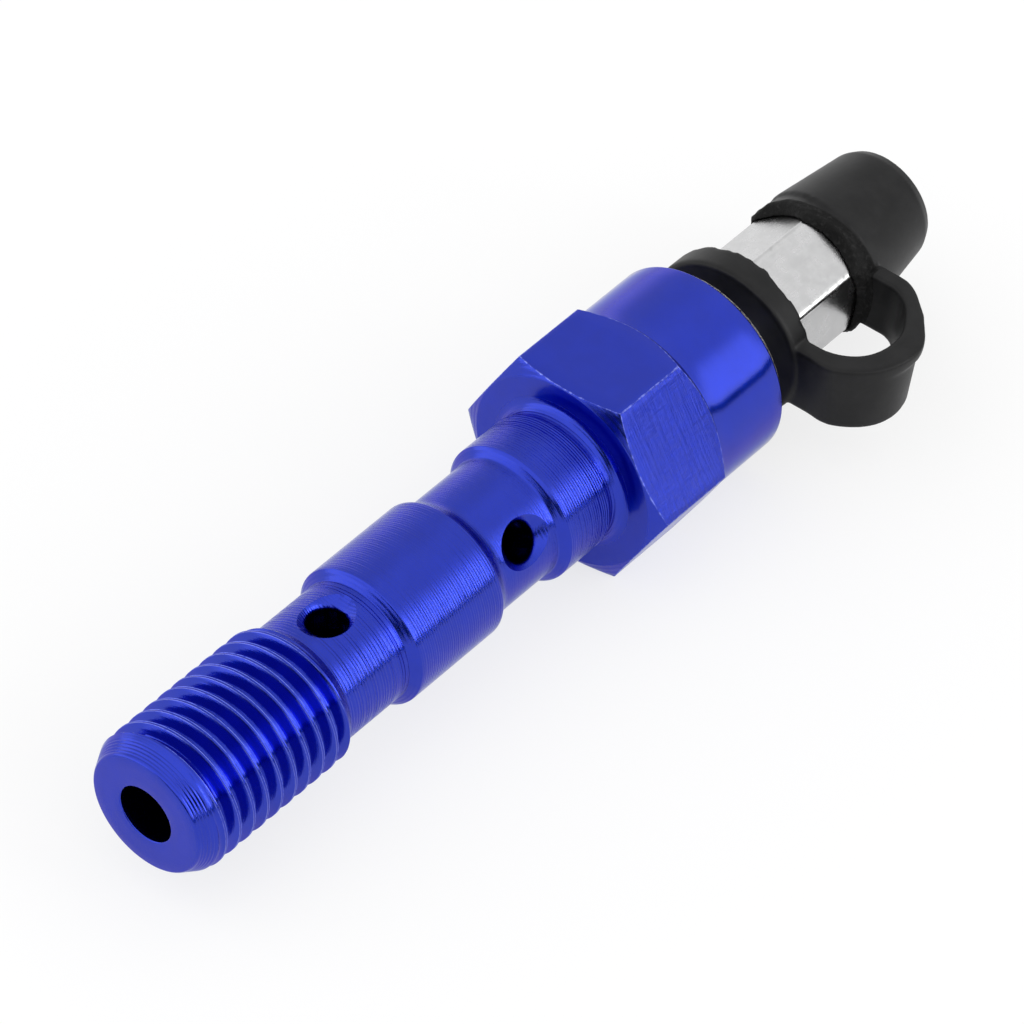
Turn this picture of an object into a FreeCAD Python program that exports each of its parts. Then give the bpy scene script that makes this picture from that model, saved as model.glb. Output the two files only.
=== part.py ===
import FreeCAD, Part

import math

import os

import Sketcher

# Double banjo bolt with a bleed nipple and its rubber dust cap, in millimetres.
# The bolt's axis is X: the thread points to -X, the dust cap to +X.
# The origin lies on the axis in the seating face under the head. +Z is up, with a spanner flat
# at the bottom, so the bolt lies as it rests on a bench. The cap's strap loops out to -Y.

# Driving dimensions: name, value in mm (angles in degrees), meaning.
SIZES = [
    # turned and milled body
    ("thread_dia", 9.84, "crest diameter of the M10 x 1.25 thread"),
    ("thread_len", 12.9, "front face to the end of the thread"),
    ("lead_dia", 8.3, "diameter of the front face"),
    ("lead_len", 1.4, "length of the lead chamfer"),
    ("runout_len", 0.8, "cone from the thread down to the first waist"),
    ("waist_dia", 8.6, "diameter of both waists"),
    ("waist_one_len", 5.45, "length of the waist behind the thread"),
    ("land_dia", 9.84, "diameter of the lands that centre the banjo eyes"),
    ("land_lead_len", 0.45, "short cone up to a land"),
    ("land_one_len", 7.65, "length of the first land"),
    ("land_back_len", 0.85, "cone from the first land down to the second waist"),
    ("waist_two_len", 5.25, "length of the second waist"),
    ("land_two_len", 3.7, "length of the land under the head"),
    ("undercut_depth", 0.3, "depth of the relief under the head"),
    ("undercut_slope", 0.2, "length of the relief's leading cone"),
    ("undercut_len", 1.1, "length of the relief"),
    ("seat_fillet", 0.85, "radius between the relief and the seating face"),
    ("hex_af", 14.0, "spanner size of the head"),
    ("hex_len", 7.25, "seating face to the collar"),
    ("hex_edge", 0.1, "step between a flat and both turned edges of the hexagon"),
    ("front_angle", 25.0, "chamfer angle at the front of the hexagon"),
    ("back_angle", 40.0, "chamfer angle between hexagon and collar"),
    ("collar_len", 6.85, "length of the round collar"),
    ("collar_chamfer_len", 0.75, "length of the collar's end chamfer"),
    ("collar_chamfer_drop", 0.6, "height of the collar's end chamfer"),
    # fluid way
    ("bore_dia", 4.0, "main bore"),
    ("bore_chamfer", 0.2, "chamfer of the bore in the front face"),
    ("cross_dia", 2.8, "cross holes through the waists"),
    ("sink_dia", 3.5, "countersink of the cross holes"),
    ("sink_depth", 0.45, "depth of the countersink from the waist's crown"),
    ("hole_one_clock", 0.0, "first cross hole, turned from the top towards -Y"),
    ("hole_two_clock", 60.0, "second cross hole, turned from the top towards -Y"),
    ("seat_depth", 9.2, "end face of the collar to the edge of the inner seat"),
    ("tap_chamfer", 0.35, "chamfer at the mouth of the tapped hole"),
    # bleed nipple
    ("seal_gap", 0.04, "gap between cone and seat when just closed"),
    ("thread_gap", 0.05, "radial gap of the nipple's thread"),
    ("tip_dia", 4.4, "flat end of the cone tip, which covers the bore"),
    ("pilot_dia", 5.2, "plain pilot behind the cone"),
    ("nipple_thread_dia", 7.0, "crest diameter of the M7 x 1 thread"),
    ("nipple_thread_len", 5.6, "length of the nipple's thread"),
    ("thread_inset", 0.4, "end of the nipple's thread inside the collar"),
    ("neck_dia", 5.9, "neck that carries the cap's ring"),
    ("neck_len", 4.1, "neck outside the collar"),
    ("nipple_af", 8.0, "spanner size of the nipple"),
    ("nipple_hex_len", 7.4, "length of the nipple's hexagon"),
    ("nipple_edge", 0.15, "step between a flat and the turned edges of the nipple's hexagon"),
    ("stem_dia", 4.8, "stem of the hose end"),
    ("stem_len", 1.5, "length of the stem"),
    ("barb_dia", 6.2, "largest diameter of the hose barb"),
    ("barb_len", 3.7, "length of the barb's long taper"),
    ("nozzle_dia", 4.4, "nose of the hose end"),
    ("nozzle_len", 1.0, "length of the nose"),
    ("nipple_bore_dia", 2.2, "bleed way along the nipple"),
    ("nipple_cross_dia", 1.6, "bleed way across the pilot"),
    # dust cap
    ("cap_gap", 0.05, "radial gap between rubber and metal"),
    ("ring_gap", 0.15, "ring to the nipple's hexagon"),
    ("ring_len", 1.9, "length of the cap's ring"),
    ("ring_wall", 2.75, "radial width of the ring"),
    ("mouth_overlap", 1.5, "how far the hood reaches over the hexagon"),
    ("mouth_wall", 0.28, "wall of the hood at its mouth"),
    ("lip_len", 1.6, "length of the hood's conical lip"),
    ("barrel_wall", 1.65, "wall of the hood round the hose end"),
    ("barrel_len", 8.2, "length of the hood behind its lip"),
    ("barrel_draft", 0.75, "how much the hood's radius narrows to its end"),
    ("hood_round", 0.9, "rounding of the hood's closed end"),
    ("hood_end_wall", 1.2, "thickness of the hood's closed end"),
    ("strap_thick", 1.6, "thickness of the strap"),
    ("strap_width", 4.4, "width of the strap"),
    ("strap_drop", 0.25, "how far the strap lies below the axis"),
    ("strap_root", 2.2, "hood's mouth to the middle of the strap"),
    ("loop_reach", 6.1, "axis to the centre of the strap's bend"),
]

# From a spanner size to the hexagon's corner radius, and to the radius of a bar 2 percent larger.
CORNER = "/ (2 * cos(30))"
BLANK = "* 1.02 / (2 * cos(30))"

# Chords in a quarter turn where a turned outline is rounded.
CHORDS = 3


def size(name):
    return "sizes." + name


def half(name):
    return "sizes." + name + " / 2"


def total(*terms):
    return " + ".join("(" + term + ")" for term in terms)


def minus(first, *rest):
    return "(" + first + ")" + "".join(" - (" + term + ")" for term in rest)


doc = FreeCAD.newDocument("bleeder_screw")
sheet = doc.addObject("Spreadsheet::Sheet", "sizes")
for row, (alias, value, meaning) in enumerate(SIZES, start=1):
    sheet.set("A%d" % row, alias)
    sheet.set("B%d" % row, str(value))
    sheet.set("C%d" % row, meaning)
    sheet.setAlias("B%d" % row, alias)
doc.recompute()


def number(expression):
    """The present value of an expression in the sheet's sizes."""
    value = sheet.evalExpression(expression)
    return float(getattr(value, "Value", value))


def arc_corners(centre_along, centre_out, radius, first, last, chords):
    """Corners of an arc that is cut in short chords, between two angles in degrees from +X."""
    corners = []
    for step in range(chords + 1):
        angle = first + (last - first) * step / chords
        along = total(centre_along, "%s * cos(%g)" % (radius, angle))
        out = total(centre_out, "%s * sin(%g)" % (radius, angle))
        corners.append((along, out))
    return corners


def new_body(name):
    body = doc.addObject("PartDesign::Body", name)
    body.Label = name
    return body


def new_sketch(body, name, plane_role):
    """A sketch on one of the body's own origin planes."""
    plane = next(feature for feature in body.Origin.OriginFeatures if feature.Role == plane_role)
    sketch = body.newObject("Sketcher::SketchObject", name)
    sketch.AttachmentSupport = [(plane, "")]
    sketch.MapMode = "FlatFace"
    return sketch


def place_point(sketch, geometry, point, along, out):
    """Binds one point of a sketch to two expressions, or to an axis where one is zero."""
    for kind, axis, expression in (("DistanceX", -2, along), ("DistanceY", -1, out)):
        if expression == "0":
            sketch.addConstraint(Sketcher.Constraint("PointOnObject", geometry, point, axis))
        else:
            index = sketch.addConstraint(
                Sketcher.Constraint(kind, -1, 1, geometry, point, number(expression))
            )
            sketch.setExpression("Constraints[%d]" % index, expression)


def polygon(sketch, corners):
    """A closed outline whose corners are pairs of expressions."""
    points = [FreeCAD.Vector(number(along), number(out), 0) for along, out in corners]
    count = len(points)
    for index in range(count):
        sketch.addGeometry(Part.LineSegment(points[index], points[(index + 1) % count]), False)
    for index in range(count):
        sketch.addConstraint(Sketcher.Constraint("Coincident", index, 2, (index + 1) % count, 1))
    for index, (along, out) in enumerate(corners):
        place_point(sketch, index, 1, along, out)


def turned(body, name, corners, kind="PartDesign::Revolution"):
    """A half outline in the XZ plane, turned about the X axis, as material or as a cut."""
    sketch = new_sketch(body, name + "_outline", "XZ_Plane")
    polygon(sketch, corners)
    feature = body.newObject(kind, name)
    feature.Profile = sketch
    feature.ReferenceAxis = (sketch, ["H_Axis"])
    feature.Angle = 360.0
    return feature


def mill_hexagon(body, name, across_flats, start, length, first_corner):
    """Mills a turned blank to a hexagon between two stations. first_corner is in degrees."""
    sketch = new_sketch(body, name + "_outline", "YZ_Plane")
    sketch.setExpression("AttachmentOffset.Base.z", start)
    corner_radius = number(across_flats + CORNER)
    turn = FreeCAD.Rotation(FreeCAD.Vector(0, 0, 1), first_corner)
    corner = FreeCAD.Vector(corner_radius, 0, 0)
    step = FreeCAD.Rotation(FreeCAD.Vector(0, 0, 1), 60)
    corners = [turn.multVec(corner)]
    for _ in range(5):
        corners.append(step.multVec(corners[-1]))
    for index in range(6):
        sketch.addGeometry(Part.LineSegment(corners[index], corners[(index + 1) % 6]), False)
    centre = FreeCAD.Vector(0, 0, 0)
    normal = FreeCAD.Vector(0, 0, 1)
    guide = sketch.addGeometry(Part.Circle(centre, normal, corner_radius), True)
    rim = sketch.addGeometry(Part.Circle(centre, normal, 2 * corner_radius), False)
    for index in range(6):
        sketch.addConstraint(Sketcher.Constraint("Coincident", index, 2, (index + 1) % 6, 1))
        sketch.addConstraint(Sketcher.Constraint("PointOnObject", index, 1, guide))
    for index in range(1, 6):
        sketch.addConstraint(Sketcher.Constraint("Equal", 0, index))
    on_axis = -1 if first_corner == 0 else -2
    sketch.addConstraint(Sketcher.Constraint("PointOnObject", 0, 1, on_axis))
    for circle, factor in ((guide, "1"), (rim, "2")):
        sketch.addConstraint(Sketcher.Constraint("Coincident", circle, 3, -1, 1))
        radius = "(" + across_flats + CORNER + ") * " + factor
        index = sketch.addConstraint(Sketcher.Constraint("Radius", circle, number(radius)))
        sketch.setExpression("Constraints[%d]" % index, radius)
    cut = body.newObject("PartDesign::Pocket", name)
    cut.Profile = sketch
    cut.setExpression("Length", length)
    cut.Reversed = True
    return cut


def drill_across(body, name, station, clock, corners):
    """A hole across the axis, cut from a half outline turned about the hole's own centre line,
    and again from the opposite side. The clock angle runs from the top towards -Y."""
    sketch = new_sketch(body, name + "_outline", "XZ_Plane")
    sketch.setExpression("AttachmentOffset.Base.x", station)
    for letter, part in (("x", "1"), ("y", "0"), ("z", "0")):
        sketch.setExpression("AttachmentOffset.Rotation.Axis." + letter, part)
    sketch.setExpression("AttachmentOffset.Rotation.Angle", clock)
    polygon(sketch, corners)
    cut = body.newObject("PartDesign::Groove", name)
    cut.Profile = sketch
    cut.ReferenceAxis = (sketch, ["V_Axis"])
    cut.Angle = 360.0
    opposite = body.newObject("PartDesign::PolarPattern", name + "_opposite")
    opposite.Originals = [cut]
    axis = next(feature for feature in body.Origin.OriginFeatures if feature.Role == "X_Axis")
    opposite.Axis = (axis, [""])
    opposite.Angle = 360.0
    opposite.Occurrences = 2
    body.Tip = opposite
    return opposite


# Stations of the bolt, measured from its front face.
runout_end = total(size("thread_len"), size("runout_len"))
waist_one_end = total(runout_end, size("waist_one_len"))
land_one_start = total(waist_one_end, size("land_lead_len"))
land_one_end = total(land_one_start, size("land_one_len"))
waist_two_start = total(land_one_end, size("land_back_len"))
waist_two_end = total(waist_two_start, size("waist_two_len"))
land_two_start = total(waist_two_end, size("land_lead_len"))
land_two_end = total(land_two_start, size("land_two_len"))
undercut_start = total(land_two_end, size("undercut_slope"))
seat_face = total(undercut_start, size("undercut_len"))
hex_end = total(seat_face, size("hex_len"))
bolt_end = total(hex_end, size("collar_len"))
inner_seat = minus(bolt_end, size("seat_depth"))

# Radii that follow from the driving sizes.
undercut_radius = minus(half("land_dia"), size("undercut_depth"))
blank_radius = size("hex_af") + BLANK
collar_radius = minus(half("hex_af"), size("hex_edge"))
front_cone = "(" + minus(blank_radius, collar_radius) + ") * tan(sizes.front_angle)"
back_cone = "(" + minus(blank_radius, collar_radius) + ") * tan(sizes.back_angle)"


def build_bolt():
    """One turning, milled to a hexagon and drilled."""
    body = new_body("banjo_bolt")
    seat_corner = arc_corners(
        minus(seat_face, size("seat_fillet")),
        total(undercut_radius, size("seat_fillet")),
        size("seat_fillet"),
        -90,
        0,
        CHORDS,
    )
    turned(
        body,
        "bar_turning",
        [
            ("0", "0"),
            ("0", half("lead_dia")),
            (size("lead_len"), half("thread_dia")),
            (size("thread_len"), half("thread_dia")),
            (runout_end, half("waist_dia")),
            (waist_one_end, half("waist_dia")),
            (land_one_start, half("land_dia")),
            (land_one_end, half("land_dia")),
            (waist_two_start, half("waist_dia")),
            (waist_two_end, half("waist_dia")),
            (land_two_start, half("land_dia")),
            (land_two_end, half("land_dia")),
            (undercut_start, undercut_radius),
            *seat_corner,
            (seat_face, collar_radius),
            (total(seat_face, front_cone), blank_radius),
            (minus(hex_end, back_cone), blank_radius),
            (hex_end, collar_radius),
            (minus(bolt_end, size("collar_chamfer_len")), collar_radius),
            (bolt_end, minus(collar_radius, size("collar_chamfer_drop"))),
            (bolt_end, "0"),
        ],
    )
    mill_hexagon(body, "spanner_flats", size("hex_af"), seat_face, size("hex_len"), 0)
    tap_radius = total(half("nipple_thread_dia"), size("thread_gap"))
    turned(
        body,
        "fluid_bore",
        [
            ("0", "0"),
            ("0", total(half("bore_dia"), size("bore_chamfer"))),
            (size("bore_chamfer"), half("bore_dia")),
            (inner_seat, half("bore_dia")),
            (total(inner_seat, minus(tap_radius, half("bore_dia"))), tap_radius),
            (minus(bolt_end, size("tap_chamfer")), tap_radius),
            (bolt_end, total(tap_radius, size("tap_chamfer"))),
            (bolt_end, "0"),
        ],
        "PartDesign::Groove",
    )
    crown = half("waist_dia")
    clear = total(crown, size("sink_depth"))
    sink_run = "(sizes.sink_dia - sizes.cross_dia) / 2"
    across = [
        ("0", "0"),
        (half("cross_dia"), "0"),
        (half("cross_dia"), minus(crown, size("sink_depth"))),
        (half("sink_dia"), crown),
        (total(half("sink_dia"), sink_run), clear),
        ("0", clear),
    ]
    middle_one = total(runout_end, half("waist_one_len"))
    middle_two = total(waist_two_start, half("waist_two_len"))
    drill_across(body, "cross_hole_one", middle_one, size("hole_one_clock"), across)
    drill_across(body, "cross_hole_two", middle_two, size("hole_two_clock"), across)
    body.setExpression("Placement.Base.x", "-(" + seat_face + ")")
    return body


# Stations of the nipple, measured from its tip. Its cone runs beside the inner seat at 45 degrees.
tip_station = total(
    inner_seat, "sizes.seal_gap * sqrt(2)", minus(half("tip_dia"), half("bore_dia"))
)
nipple_face = minus(bolt_end, tip_station)
nipple_thread_end = minus(nipple_face, size("thread_inset"))
nipple_thread_start = minus(nipple_thread_end, size("nipple_thread_len"))
nipple_hex_start = total(nipple_face, size("neck_len"))
nipple_hex_end = total(nipple_hex_start, size("nipple_hex_len"))
stem_end = total(nipple_hex_end, size("stem_len"))
barb_end = total(stem_end, size("barb_len"))
nozzle_end = total(barb_end, size("nozzle_len"))


def build_nipple():
    """One turning with its own small hexagon, drilled along and across."""
    body = new_body("bleed_nipple")
    blank = size("nipple_af") + BLANK
    edge = minus(half("nipple_af"), size("nipple_edge"))
    cone = "(" + minus(blank, edge) + ") * tan(30)"
    turned(
        body,
        "nipple_turning",
        [
            ("0", "0"),
            ("0", half("tip_dia")),
            (minus(half("pilot_dia"), half("tip_dia")), half("pilot_dia")),
            (nipple_thread_start, half("pilot_dia")),
            (nipple_thread_start, half("nipple_thread_dia")),
            (nipple_thread_end, half("nipple_thread_dia")),
            (nipple_thread_end, half("neck_dia")),
            (nipple_hex_start, half("neck_dia")),
            (nipple_hex_start, edge),
            (total(nipple_hex_start, cone), blank),
            (minus(nipple_hex_end, cone), blank),
            (nipple_hex_end, edge),
            (nipple_hex_end, half("stem_dia")),
            (stem_end, half("stem_dia")),
            (stem_end, half("barb_dia")),
            (barb_end, half("nozzle_dia")),
            (nozzle_end, half("nozzle_dia")),
            (nozzle_end, "0"),
        ],
    )
    mill_hexagon(
        body, "nipple_flats", size("nipple_af"), nipple_hex_start, size("nipple_hex_len"), 90
    )
    cross_station = total(minus(half("pilot_dia"), half("tip_dia")), size("nipple_cross_dia"))
    turned(
        body,
        "bleed_way",
        [
            (cross_station, "0"),
            (cross_station, half("nipple_bore_dia")),
            (nozzle_end, half("nipple_bore_dia")),
            (nozzle_end, "0"),
        ],
        "PartDesign::Groove",
    )
    drill_across(
        body,
        "bleed_cross_hole",
        cross_station,
        size("hole_one_clock"),
        [
            ("0", "0"),
            (half("nipple_cross_dia"), "0"),
            (half("nipple_cross_dia"), size("pilot_dia")),
            ("0", size("pilot_dia")),
        ],
    )
    body.setExpression("Placement.Base.x", minus(tip_station, seat_face))
    return body


# Stations of the dust cap, measured from the front of its ring.
ring_inner = total(half("neck_dia"), size("cap_gap"))
ring_outer = total(ring_inner, size("ring_wall"))
mouth = total(
    size("ring_len"), size("ring_gap"), minus(size("nipple_hex_len"), size("mouth_overlap"))
)
lip_end = total(mouth, size("lip_len"))
hood_end = total(lip_end, size("barrel_len"))
mouth_inner = total(size("nipple_af") + CORNER, size("cap_gap"))
mouth_outer = total(mouth_inner, size("mouth_wall"))
cavity_radius = total(half("barb_dia"), size("cap_gap"))
lip_outer = total(cavity_radius, size("barrel_wall"))
barrel_end_outer = minus(lip_outer, size("barrel_draft"))


def build_cap():
    """One rubber moulding: strap bent into a loop, ring, hood with its cavity."""
    body = new_body("dust_cap")
    sketch = new_sketch(body, "strap_outline", "XY_Plane")
    sketch.setExpression("AttachmentOffset.Base.z", minus(size("strap_drop"), half("strap_width")))
    ring_middle = half("ring_len")
    hood_middle = total(mouth, size("strap_root"))
    centre_along = "(" + total(ring_middle, hood_middle) + ") / 2"
    bend = "(" + minus(hood_middle, ring_middle) + ") / 2"
    outer_bend = total(bend, half("strap_thick"))
    inner_bend = minus(bend, half("strap_thick"))
    ring_root = "(" + total(ring_inner, ring_outer) + ") / 2"
    hood_root = minus(lip_outer, "sizes.barrel_wall / 2")
    reach = size("loop_reach")
    centre = FreeCAD.Vector(number(centre_along), number(reach), 0)
    outer = number(outer_bend)
    inner = number(inner_bend)

    def at(along, out):
        return FreeCAD.Vector(along, out, 0)

    left_out = at(centre.x - outer, centre.y)
    left_in = at(centre.x - inner, centre.y)
    right_out = at(centre.x + outer, centre.y)
    right_in = at(centre.x + inner, centre.y)
    ring_out = at(left_out.x, number(ring_root))
    ring_in = at(left_in.x, number(ring_root))
    hood_out = at(right_out.x, number(hood_root))
    hood_in = at(right_in.x, number(hood_root))
    normal = FreeCAD.Vector(0, 0, 1)
    big = Part.ArcOfCircle(Part.Circle(centre, normal, outer), 0, math.pi)
    small = Part.ArcOfCircle(Part.Circle(centre, normal, inner), 0, math.pi)
    outline = [
        Part.LineSegment(ring_out, left_out),
        big,
        Part.LineSegment(right_out, hood_out),
        Part.LineSegment(hood_out, hood_in),
        Part.LineSegment(hood_in, right_in),
        small,
        Part.LineSegment(left_in, ring_in),
        Part.LineSegment(ring_in, ring_out),
    ]
    for piece in outline:
        sketch.addGeometry(piece, False)
    # an arc runs from its hood side, point 1, to its ring side, point 2
    joins = [(0, 2, 1, 2), (1, 1, 2, 1), (2, 2, 3, 1), (3, 2, 4, 1), (4, 2, 5, 1), (5, 2, 6, 1)]
    joins += [(6, 2, 7, 1), (7, 2, 0, 1)]
    for first, first_end, second, second_end in joins:
        sketch.addConstraint(
            Sketcher.Constraint("Coincident", first, first_end, second, second_end)
        )
    for line in (0, 2, 4, 6):
        sketch.addConstraint(Sketcher.Constraint("Vertical", line))
    for line in (3, 7):
        sketch.addConstraint(Sketcher.Constraint("Horizontal", line))
    sketch.addConstraint(Sketcher.Constraint("Coincident", 1, 3, 5, 3))
    sketch.addConstraint(Sketcher.Constraint("Horizontal", 1, 1, 1, 3))
    sketch.addConstraint(Sketcher.Constraint("Horizontal", 5, 1, 5, 3))
    sketch.addConstraint(Sketcher.Constraint("Horizontal", 1, 2, 1, 3))
    sketch.addConstraint(Sketcher.Constraint("Horizontal", 5, 2, 5, 3))
    place_point(sketch, 1, 3, centre_along, reach)
    for arc, radius in ((1, outer_bend), (5, inner_bend)):
        index = sketch.addConstraint(Sketcher.Constraint("Radius", arc, number(radius)))
        sketch.setExpression("Constraints[%d]" % index, radius)
    for line, root in ((0, ring_root), (3, hood_root)):
        index = sketch.addConstraint(
            Sketcher.Constraint("DistanceY", -1, 1, line, 1, number(root))
        )
        sketch.setExpression("Constraints[%d]" % index, root)
    strap = body.newObject("PartDesign::Pad", "strap")
    strap.Profile = sketch
    strap.setExpression("Length", size("strap_width"))
    turned(
        body,
        "ring",
        [
            ("0", ring_inner),
            ("0", ring_outer),
            (size("ring_len"), ring_outer),
            (size("ring_len"), ring_inner),
        ],
    )
    hood_corner = arc_corners(
        minus(hood_end, size("hood_round")),
        minus(barrel_end_outer, size("hood_round")),
        size("hood_round"),
        90,
        0,
        CHORDS,
    )
    turned(
        body,
        "hood",
        [
            (mouth, "0"),
            (mouth, mouth_outer),
            (lip_end, lip_outer),
            *hood_corner,
            (hood_end, "0"),
        ],
    )
    turned(
        body,
        "hood_cavity",
        [
            (mouth, "0"),
            (mouth, mouth_inner),
            (total(mouth, size("mouth_overlap"), size("ring_gap")), mouth_inner),
            (total(mouth, size("mouth_overlap"), size("ring_gap")), cavity_radius),
            (minus(hood_end, size("hood_end_wall")), cavity_radius),
            (minus(hood_end, size("hood_end_wall")), "0"),
        ],
        "PartDesign::Groove",
    )
    doc.recompute()
    ring_station = minus(
        total(tip_station, nipple_hex_start), size("ring_gap"), size("ring_len"), seat_face
    )
    body.setExpression("Placement.Base.x", ring_station)
    body.Placement = FreeCAD.Placement(
        body.Placement.Base, FreeCAD.Rotation(FreeCAD.Vector(1, 0, 0), 180)
    )
    return body


bodies = [build_bolt(), build_nipple(), build_cap()]
doc.recompute()

for item in doc.Objects:
    faults = [state for state in item.State if state in ("Invalid", "Error")]
    if faults:
        raise RuntimeError("%s is not built: %s" % (item.Name, ", ".join(faults)))
for body in bodies:
    if body.Shape.isNull() or not body.Shape.isValid() or len(body.Shape.Solids) != 1:
        raise RuntimeError("%s has no single valid solid" % body.Label)

os.makedirs("parts", exist_ok=True)
for body in bodies:
    body.Shape.exportStep("parts/%s.step" % body.Label)
    box = body.Shape.BoundBox
    print(
        "%s: %.1f mm3, x %.2f to %.2f, y %.2f to %.2f, z %.2f to %.2f"
        % (body.Label, body.Shape.Volume, box.XMin, box.XMax, box.YMin, box.YMax, box.ZMin, box.ZMax)
    )
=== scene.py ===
# %% [markdown]
# # A double banjo bolt with a bleed nipple
#
# The object is a hydraulic bolt that lies on its side. Its body is one turning of aluminium,
# anodised blue. A plated steel nipple is screwed into the head, and a black rubber cap with a
# looped strap covers its hose end. The three pieces come from a CAD model, which gives their
# sizes and places.
# This script gives them what a CAD solid leaves out: the thread, turning marks, rounded edges,
# the rubber's moulding and the finishes.

import bmesh
import bpy
import numpy as np
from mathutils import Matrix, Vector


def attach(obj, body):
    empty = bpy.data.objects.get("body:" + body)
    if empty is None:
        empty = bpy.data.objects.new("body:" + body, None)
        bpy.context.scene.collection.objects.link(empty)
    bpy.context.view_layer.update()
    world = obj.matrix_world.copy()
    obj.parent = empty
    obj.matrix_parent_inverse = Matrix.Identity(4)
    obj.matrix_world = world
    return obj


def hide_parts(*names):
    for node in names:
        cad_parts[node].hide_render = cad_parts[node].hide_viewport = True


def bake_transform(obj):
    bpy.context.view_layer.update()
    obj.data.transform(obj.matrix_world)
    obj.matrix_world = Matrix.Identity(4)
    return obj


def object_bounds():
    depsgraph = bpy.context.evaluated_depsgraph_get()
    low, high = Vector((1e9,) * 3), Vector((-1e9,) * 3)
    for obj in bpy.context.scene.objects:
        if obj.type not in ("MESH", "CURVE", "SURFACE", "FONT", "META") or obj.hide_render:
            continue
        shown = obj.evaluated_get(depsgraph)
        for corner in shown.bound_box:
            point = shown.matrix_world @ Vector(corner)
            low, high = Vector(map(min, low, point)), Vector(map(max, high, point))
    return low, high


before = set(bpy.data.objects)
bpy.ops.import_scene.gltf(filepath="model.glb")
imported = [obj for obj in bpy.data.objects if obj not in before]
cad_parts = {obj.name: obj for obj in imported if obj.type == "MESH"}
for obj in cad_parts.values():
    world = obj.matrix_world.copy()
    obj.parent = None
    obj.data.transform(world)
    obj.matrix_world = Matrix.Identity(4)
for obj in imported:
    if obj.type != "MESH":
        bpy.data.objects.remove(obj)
cad_low, cad_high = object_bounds()
MM = 0.001
TURN = 2 * np.pi
print("CAD box in mm:", [round((high - low) / MM, 2) for low, high in zip(cad_low, cad_high)])

# %% [markdown]
# ## Turned surfaces
#
# Nearly everything here is turned on a lathe, so one idea builds it all: a grid whose rows run round
# the X axis and whose columns run along it. Each row has a station x and a radius r, and both may
# differ from column to column. That lets the same grid hold a cylinder, a hexagon, a chamfer that
# meets the hexagon in curves, or a thread.

# %% Columns round the axis
COLUMNS_PER_FLAT = 21
CORNER_BREAK = 0.0065


def column_angles(first_corner=0.0, corner_break=CORNER_BREAK):
    """Angles round the axis, from +Y towards +Z. They are evenly spaced in each sixth of a turn,
    with two more beside each hexagon corner, so that the corner can be broken there."""
    sixth = TURN / 6
    even = np.linspace(0, sixth, COLUMNS_PER_FLAT + 1)[1:-1]
    one = np.concatenate([[0, corner_break], even, [sixth - corner_break]])
    angles = np.concatenate([one + corner * sixth for corner in range(6)] + [[TURN]])
    return angles + first_corner


def round_points(stations, radii, angles):
    """Points of a turned grid in metres: (x, r cos a, r sin a), rows by columns."""
    stations = np.broadcast_to(stations, radii.shape)
    return MM * np.stack([stations, radii * np.cos(angles), radii * np.sin(angles)], axis=-1)


angles = column_angles()
print("columns round the axis:", len(angles) - 1)

# %% [markdown]
# A grid becomes faces by joining each point to its neighbours. Several grids are put into one mesh
# and welded where their points meet. Rows that shrink to a point on the axis close the ends.

# %% From grids to a mesh
SMOOTH_LIMIT = np.radians(32)


def grid_faces(rows, columns, first):
    """Corner numbers of the quads of a grid whose points start at number first."""
    number = first + np.arange(rows * columns).reshape(rows, columns)
    quads = [number[:-1, :-1], number[:-1, 1:], number[1:, 1:], number[1:, :-1]]
    return np.stack(quads, axis=-1).reshape(-1, 4)


def welded_mesh(name, grids, gap=2e-8):
    """One mesh from grids of points in metres. Points closer than the gap become one."""
    points, faces, first = [], [], 0
    for grid in grids:
        rows, columns = grid.shape[:2]
        points.append(grid.reshape(-1, 3))
        faces.append(grid_faces(rows, columns, first))
        first += rows * columns
    mesh = bpy.data.meshes.new(name)
    mesh.from_pydata(np.concatenate(points), [], np.concatenate(faces).tolist())
    work = bmesh.new()
    work.from_mesh(mesh)
    bmesh.ops.remove_doubles(work, verts=work.verts, dist=gap)
    bmesh.ops.dissolve_degenerate(work, edges=work.edges, dist=gap)
    loose_edges = [edge for edge in work.edges if not edge.link_faces]
    bmesh.ops.delete(work, geom=loose_edges, context="EDGES")
    loose = [vertex for vertex in work.verts if not vertex.link_faces]
    bmesh.ops.delete(work, geom=loose, context="VERTS")
    work.to_mesh(mesh)
    work.free()
    return mesh


def face_outwards(mesh):
    """Turns the faces of a closed mesh outwards."""
    work = bmesh.new()
    work.from_mesh(mesh)
    bmesh.ops.recalc_face_normals(work, faces=work.faces)
    work.to_mesh(mesh)
    work.free()


def new_piece(name, mesh):
    """An object in the scene for a mesh whose place is in its points."""
    piece = bpy.data.objects.new(name, mesh)
    bpy.context.scene.collection.objects.link(piece)
    return piece


def shade(mesh, limit=SMOOTH_LIMIT):
    """Smooth faces, with sharp edges where two faces meet at more than the limit."""
    mesh.shade_smooth()
    mesh.set_sharp_from_angle(angle=limit)


# %% [markdown]
# A turner breaks every sharp edge. Here each corner of an outline is replaced by a small three-point
# round, worked out for all columns together.

# %% Outlines with broken edges
def outline(corners, angles):
    """Rows of stations and radii from pairs (station, radius), each a number or one per column."""
    size = len(angles)
    pairs = [[np.broadcast_to(value, size) for value in corner] for corner in corners]
    return np.array(pairs, float)


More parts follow.
